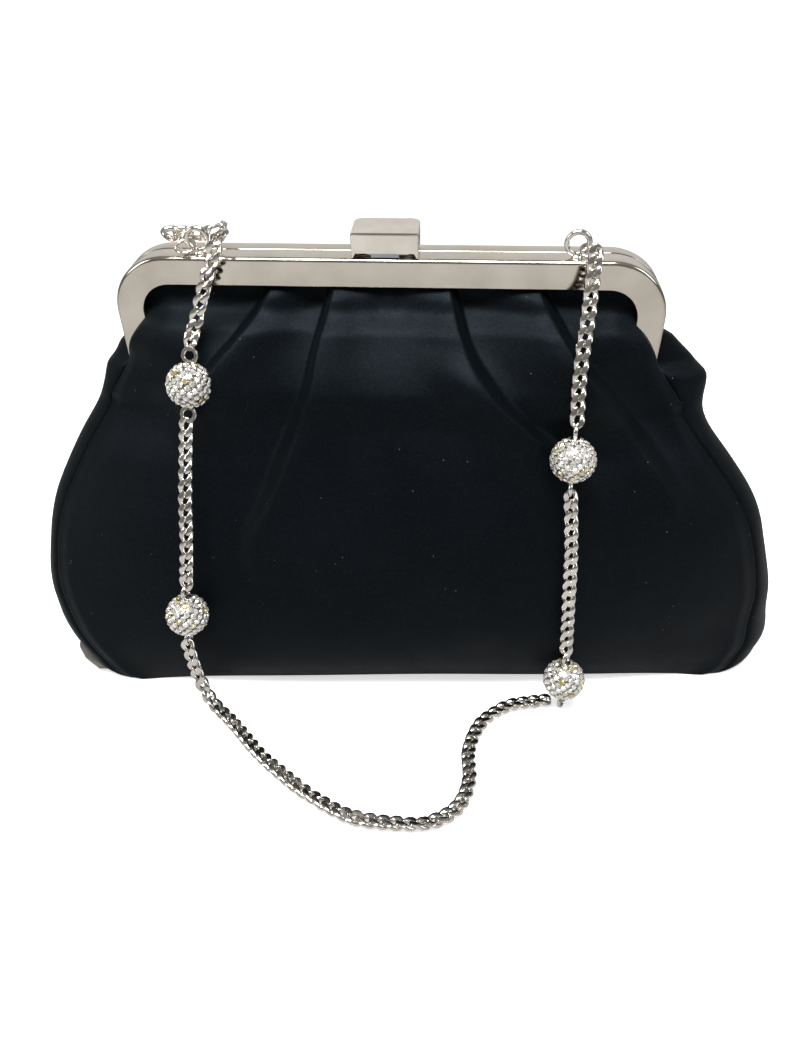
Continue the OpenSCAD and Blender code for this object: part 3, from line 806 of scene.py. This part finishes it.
def frontPoint(u, z):
    # from the seam's depth out to the middle's by the fullness, then pleats, shoulders and edge roll on it
    x = edgeX(z, -1) * u
    middle = -middleReach(z, middleTop["frontY"], middleTop["frontPower"])
    y = lerp(edgeY(z, -1), middle, fullness(u, z))
    free = smooth((1 - np.abs(u)) / 0.12)
    # a rounded roll of cloth along the edge where it lies over the legs
    roll = edgeRoll * quarterArc((1 - np.abs(u)) * 12) * smooth((z - 108) / 14) * smooth((147 - z) / 8)
    lift = (pleatRise(x, z) * smooth((158 - z) / 9) + clothLift(x, z, 3)) * free
    # shoulders swell beside the legs of the frame
    beside = np.exp(-((np.abs(x) - shoulder["x"]) / shoulder["wide"]) ** 2)
    swell = shoulder["swell"] * beside * smooth((z - 96) / 20) * smooth((158 - z) / 26)
    # under the top bar the cloth comes out gently from behind the frame's face
    y = softLimit(y - swell * free, channelY(z, -1) - 2.6 - emerge(z))
    y = y - lift - roll + 1.5 * seamPinch(u) * (1 - held(z))
    return turned(x, y, z)


def backPoint(u, z):
    # as the front, with mirrored pleats a little shallower
    x = edgeX(z, 1) * u
    middle = middleReach(z, middleTop["backY"], middleTop["backPower"])
    y = lerp(edgeY(z, 1), middle, fullness(u, z))
    free = smooth((1 - np.abs(u)) / 0.12)
    y = y + (0.8 * pleatRise(-x, z) + clothLift(x, z, 5)) * free
    y = y - 1.5 * seamPinch(u) * (1 - held(z))
    y = np.minimum(y, channelY(z, 1) + 2.8 + 2 * emerge(z))
    return turned(x, y, z)


def levels(low, high, rows):
    # heights closer together near the foot, where the cloth turns under
    t = np.linspace(0, 1, rows)
    return low + (high - low) * (0.55 * t + 0.45 * t ** 1.7)


def clothPiece(name, points, flip=False):
    rows, cols = points.shape[:2]
    faces = gridFaces(rows, cols)
    piece = addMesh(name, points.reshape(-1, 3), faces[:, ::-1] if flip else faces, blackSatin)
    across = np.broadcast_to(np.linspace(0, 1, cols)[None], (rows, cols))
    up = np.broadcast_to(np.linspace(0, 1, rows)[:, None], (rows, cols))
    width = np.linalg.norm(np.diff(points, axis=1), axis=-1).sum(1).max() / 100
    tall = np.linalg.norm(np.diff(points, axis=0), axis=-1).sum(0).max() / 100
    addUv(piece, np.stack([across * width, up * tall], -1).reshape(-1, 2))
    return piece


u = np.linspace(-1, 1, pouch["columns"])[None]
z = levels(pouch["foot"], pouch["topZ"], pouch["rows"])[:, None]
frontPanel = clothPiece("frontPanel", frontPoint(u, z * np.ones_like(u)))
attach(frontPanel, "bag")
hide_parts("front_panel")

backGrid = {"rows": 160, "columns": 260, "over": 0.5}
zBack = levels(pouch["foot"], pouch["topZ"] + backGrid["over"], backGrid["rows"])[:, None]
uBack = np.linspace(-1, 1, backGrid["columns"])[None]
backPanel = clothPiece("backPanel", backPoint(uBack, zBack * np.ones_like(uBack)), flip=True)
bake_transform(backPanel)
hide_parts("back_panel_lower", "back_panel_upper")

gussets = {"top": 144, "columns": 70, "rows": 130, "behindX": 91.0, "puffZ": 125.5}
# how far and how high each gusset puffs out beside the leg, and where its bow ends
puffs = {-1: {"much": 2, "high": 8, "end": 139}, 1: {"much": 8.5, "high": 12, "end": 144}}


def gussetPoint(v, z, hand):
    # from the front edge (v = -1) to the back edge (v = 1), bowed outwards and puffed out behind the legs
    front = frontPoint(np.full_like(z, hand * 1.0), z)
    back = backPoint(np.full_like(z, hand * 1.0), z)
    behind = smooth((z - 123) / 5)
    front[..., 0] = lerp(front[..., 0], hand * gussets["behindX"], behind)
    front[..., 1] = lerp(front[..., 1], channelY(z, -1), behind)
    t = (v + 1) / 2
    x = lerp(front[..., 0], back[..., 0], t)
    y = lerp(front[..., 1], back[..., 1], t)
    puff = puffs[hand]
    wide = halfWidth(z) + puff["much"] * np.exp(-((z - gussets["puffZ"]) / puff["high"]) ** 2)
    bow = np.maximum(wide - lerp(edgeX(z, -1), edgeX(z, 1), t), 2)
    shape = np.sqrt(np.maximum(1 - v * v, 0)) * 0.7 + (1 - v * v) * 0.3
    x = x + hand * bow * shape * smooth((puff["end"] - z) / 8)
    return np.stack([x, y, z * np.ones_like(x)], -1)


def gusset(hand):
    v = np.linspace(-1, 1, gussets["columns"])[None]
    zz = levels(pouch["foot"], gussets["top"], gussets["rows"])[:, None] * np.ones_like(v)
    name = "leftGusset" if hand < 0 else "rightGusset"
    piece = clothPiece(name, gussetPoint(v * np.ones_like(zz), zz, hand), flip=hand < 0)
    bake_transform(piece)
    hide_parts("left_gusset" if hand < 0 else "right_gusset")
    return piece


leftGusset, rightGusset = gusset(-1), gusset(1)
for piece in (frontPanel, backPanel, leftGusset, rightGusset):
    thick = piece.modifiers.new("thick", "SOLIDIFY")
    thick.thickness = 0.002
    thick.offset = -1


def footPiece():
    # the foot's outline drawn in towards its middle in a few rings
    long, short, low = 200, 60, pouch["foot"]
    u, v = np.linspace(-1, 1, long), np.linspace(-1, 1, short)
    sides = [frontPoint(u, np.full(long, low)), gussetPoint(v, np.full(short, low), 1),
             backPoint(-u, np.full(long, low)), gussetPoint(-v, np.full(short, low), -1)]
    outline = np.vstack([line[:-1] for line in sides])
    scales = np.array([1.0, 0.97, 0.8, 0.4, 0.02])[:, None, None]
    rings = outline[None] * np.concatenate([scales, scales, np.ones_like(scales)], -1)
    rings[..., 2] = np.array([low, low - 0.4, 0.1, 0.1, 0.1])[:, None]
    faces = gridFaces(len(rings), len(outline), False, True)[:, ::-1]
    piece = addMesh("footPanel", rings.reshape(-1, 3), faces, blackSatin)
    addUv(piece, rings.reshape(-1, 3)[:, :2] / 100)
    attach(piece, "bag")
    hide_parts("base_panel")


footPiece()


linings = {"columns": 90, "rows": 70, "inset": 3.0, "narrower": 0.975, "low": 5, "high": 151}
sideLinings = {"columns": 30, "rows": 60, "inset": 3.6, "narrower": 0.9, "high": 104}


def liningPiece(name, nodes, point, side):
    # the same surface as the cloth outside it, a little further in
    uu = np.linspace(-0.985, 0.985, linings["columns"])[None]
    zz = np.linspace(linings["low"], linings["high"], linings["rows"])[:, None] * np.ones_like(uu)
    points = point(uu * np.ones_like(zz), zz)
    points[..., 1] -= side * linings["inset"]
    points[..., 0] *= linings["narrower"]
    faces = gridFaces(linings["rows"], linings["columns"])
    piece = addMesh(name, points.reshape(-1, 3), faces[:, ::-1] if side < 0 else faces, blackLining)
    addUv(piece, points.reshape(-1, 3)[:, [0, 2]] / 100)
    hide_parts(*nodes)
    return piece


frontLining = liningPiece("frontLining", ["front_lining"], frontPoint, -1)
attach(frontLining, "bag")
backLining = liningPiece("backLining", ["back_lining", "back_lining_upper"], backPoint, 1)
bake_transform(backLining)


def sideLining(hand):
    v = np.linspace(-0.97, 0.97, sideLinings["columns"])[None]
    zz = np.linspace(linings["low"], sideLinings["high"], sideLinings["rows"])[:, None] * np.ones_like(v)
    points = gussetPoint(v * np.ones_like(zz), zz, hand)
    points[..., 0] -= hand * sideLinings["inset"]
    points[..., 1] *= sideLinings["narrower"]
    faces = gridFaces(sideLinings["rows"], sideLinings["columns"])
    name = "leftSideLining" if hand < 0 else "rightSideLining"
    piece = addMesh(name, points.reshape(-1, 3), faces if hand < 0 else faces[:, ::-1], blackLining)
    addUv(piece, points.reshape(-1, 3)[:, 1:] / 100)
    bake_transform(piece)
    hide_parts("left_side_lining" if hand < 0 else "right_side_lining")


sideLining(-1)
sideLining(1)

print("frame")
jaw = {"halfWidth": 93.4, "top": 55.0, "corner": 20.0, "face": 9.6, "deep": 7.8, "wall": 1.0,
       "parting": 0.3, "legEnd": 5.5, "smallEdge": 0.35, "taperEnd": 26, "tipShare": 0.42}


def jawSection(edge):
    # [inward, away from the parting line] round the channel, starting at the inner lip beside the parting
    f, d, w, p = jaw["face"], jaw["deep"], jaw["wall"], jaw["parting"]
    a = np.linspace(0, math.pi / 2, 9)
    small = jaw["smallEdge"]
    c = np.linspace(0, math.pi / 2, 4)
    outer = [(0, p)]
    outer += [(f - small + small * math.sin(t), p + small - small * math.cos(t)) for t in c]
    outer += [(f - edge + edge * math.cos(t), p + d - edge + edge * math.sin(t)) for t in a]
    outer += [(small - small * math.sin(t), p + d - small + small * math.cos(t)) for t in c]
    inner = [(0, p + d - w), (f - w, p + d - w), (f - w, p + w), (0, p + w)]
    return np.array(outer + inner)


def jawPath():
    # points and outward directions along the upturned U, from the right leg up and over to the left leg
    h, w, r = jaw["top"], jaw["halfWidth"], jaw["corner"]
    leg = np.linspace(jaw["legEnd"], h - r, 14)
    a = np.linspace(0, math.pi / 2, 26)[1:]
    bar = np.linspace(w - r, -(w - r), 60)[1:]
    down = leg[::-1][1:]
    x = np.concatenate([np.full_like(leg, w), w - r + r * np.cos(a), bar, -(w - r) - r * np.sin(a),
                        np.full_like(down, -w)])
    z = np.concatenate([leg, h - r + r * np.sin(a), np.full_like(bar, h), h - r + r * np.cos(a), down])
    ox = np.concatenate([np.ones_like(leg), np.cos(a), np.zeros_like(bar), -np.sin(a), -np.ones_like(down)])
    oz = np.concatenate([np.zeros_like(leg), np.sin(a), np.ones_like(bar), np.cos(a), np.zeros_like(down)])
    return x, z, ox, oz


def jawSweep(name, side, edge, body, node):
    # the section carried along the path, its inward part drawn in where the legs' faces taper to their tips
    section = jawSection(edge)
    x, z, ox, oz = jawPath()
    inward = jaw["face"] - section[:, 0]
    tip = smooth((z - jaw["legEnd"]) / jaw["taperEnd"])
    share = lerp(jaw["tipShare"], 1.0, tip)[:, None]
    depth = inward[None] * share
    px = x[:, None] - ox[:, None] * depth
    pz = z[:, None] - oz[:, None] * depth
    py = np.broadcast_to(side * section[None, :, 1], px.shape)
    points = leaning(np.stack([px, py, pz], -1))
    n = len(section)
    faces = gridFaces(len(x), n, False, True).tolist()
    faces += [list(range(n))[::-1], [(len(x) - 1) * n + k for k in range(n)]]
    if side > 0:
        faces = [f[::-1] for f in faces]
    piece = addMesh(name, points.reshape(-1, 3), faces, frameChrome)
    piece.data.set_sharp_from_angle(angle=math.radians(35))
    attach(piece, body)
    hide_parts(node)


jawSweep("frontJaw", -1, 1.4, "bag", "front_jaw")
jawSweep("backJaw", 1, 3.0, "back_frame", "back_jaw")

tab = {"round": 4.5, "top": 9.5, "gap": 0.15, "frontX": 91.0, "backX": 89.8, "thick": 1}


def hingeTab(name, side, hand, body):
    # a plate with a round end about the rivet, as an outline given a thickness
    inner = tab["frontX"] if side < 0 else tab["backX"]
    a = np.linspace(math.pi, 2 * math.pi, 20)
    arc = tab["round"] * np.stack([np.cos(a), np.sin(a)], 1)
    right, left = (-tab["gap"], -tab["round"]) if side < 0 else (tab["round"], tab["gap"])
    outline = np.vstack([arc, [[right, tab["top"]], [left, tab["top"]]]])
    n = len(outline)
    ring0 = np.column_stack([np.full(n, hand * inner), outline])
    ring1 = np.column_stack([np.full(n, hand * (inner + tab["thick"])), outline])
    faces = [[i, (i + 1) % n, n + (i + 1) % n, n + i] for i in range(n)]
    faces += [list(range(n))[::-1], list(range(n, 2 * n))]
    if hand < 0:
        faces = [f[::-1] for f in faces]
    piece = addMesh(name, leaning(np.vstack([ring0, ring1])), faces, frameChrome, soft=False)
    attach(piece, body)


for hand, word in ((-1, "left"), (1, "right")):
    hingeTab(word + "FrontTab", -1, hand, "bag")
    hingeTab(word + "BackTab", 1, hand, "back_frame")

print("clasp")
clasp = {"width": 22.0, "front": -7.95, "back": 7.2, "top": 63.4, "foot": 55.3, "slot": 56.9,
         "backFoot": 59.6, "backFrom": 4.4, "wall": 1.0, "corner": 3.0, "edge": 0.5, "bevel": 0.45,
         "inner": 3.0}


def claspCover():
    # plan outline with rounded back corners, swept down over a rounded top edge to the foot; open below
    w, c = clasp["width"] / 2, clasp["corner"]
    a = np.linspace(0, math.pi / 2, 9)
    small = clasp["edge"]
    e = np.linspace(0, math.pi / 2, 5)
    plan = [(-w + small - small * math.cos(t), clasp["front"] + small - small * math.sin(t)) for t in e]
    plan += [(w - small + small * math.sin(t), clasp["front"] + small - small * math.cos(t)) for t in e]
    plan += [(w - c + c * math.cos(t), clasp["back"] - c + c * math.sin(t)) for t in a]
    plan += [(-w + c - c * math.sin(t), clasp["back"] - c + c * math.cos(t)) for t in a]
    # even out the long sides with points between
    dense = []
    for p, q in zip(plan, plan[1:] + plan[:1]):
        steps = max(1, int(np.hypot(q[0] - p[0], q[1] - p[1]) // 1.0))
        dense += [(lerp(p[0], q[0], k / steps), lerp(p[1], q[1], k / steps)) for k in range(steps)]
    plan = np.array(dense)
    inset = clasp["inner"]
    low, high = [-w + inset, clasp["front"] + inset], [w - inset, clasp["back"] - inset]
    away = unit(plan - np.clip(plan, low, high))
    n = len(plan)
    bevel, top, wall = clasp["bevel"], clasp["top"], clasp["wall"]
    # the foot is cut higher along the front, where the tongue shows, and at the back over the hinge
    footHeight = np.full(n, clasp["foot"])
    frontRow = plan[:, 1] < clasp["front"] + 0.6
    sideways = np.abs(plan[:, 0]) < w - 1.1
    footHeight[frontRow & sideways] = clasp["slot"]
    footHeight[plan[:, 1] > clasp["backFrom"]] = clasp["backFoot"]
    rows = []
    for shift, height in [(inset, top), (1.2, top), (bevel, top), (bevel * 0.3, top - bevel * 0.3),
                          (0, top - bevel)]:
        rows.append(np.column_stack([plan - away * shift, np.full(n, height)]))
    for k in np.linspace(0, 1, 8)[1:]:
        rows.append(np.column_stack([plan, lerp(top - bevel, footHeight, k)]))
    for k in np.linspace(0, 1, 6):
        rows.append(np.column_stack([plan - away * wall, lerp(footHeight, top - wall, k)]))
    rows.append(np.column_stack([plan - away * inset, np.full(n, top - wall)]))
    points = np.vstack(rows)
    faces = gridFaces(len(rows), n, False, True)[:, ::-1].tolist()
    last = (len(rows) - 1) * n
    faces += [list(range(n)), [last + k for k in range(n)][::-1]]
    piece = addMesh("claspCover", leaning(points), faces, claspChrome)
    piece.data.set_sharp_from_angle(angle=math.radians(32))
    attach(piece, "clasp")
    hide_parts("clasp_cover")


claspCover()

print("finishes")


def refinish(material, *names):
    for name in names:
        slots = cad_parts[name].material_slots
        for s in slots:
            s.material = material
        if not len(slots):
            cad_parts[name].data.materials.append(material)


refinish(frameChrome, "left_hinge_rivet", "right_hinge_rivet", "catch_tongue")
refinish(claspChrome, "clasp_hinge_bracket", "clasp_hinge_pin")
refinish(springSteel, "clasp_spring")
refinish(paperCord, "front_tucking_cord", "back_tucking_cord")
refinish(greyBoard, "base_board")

print("done")
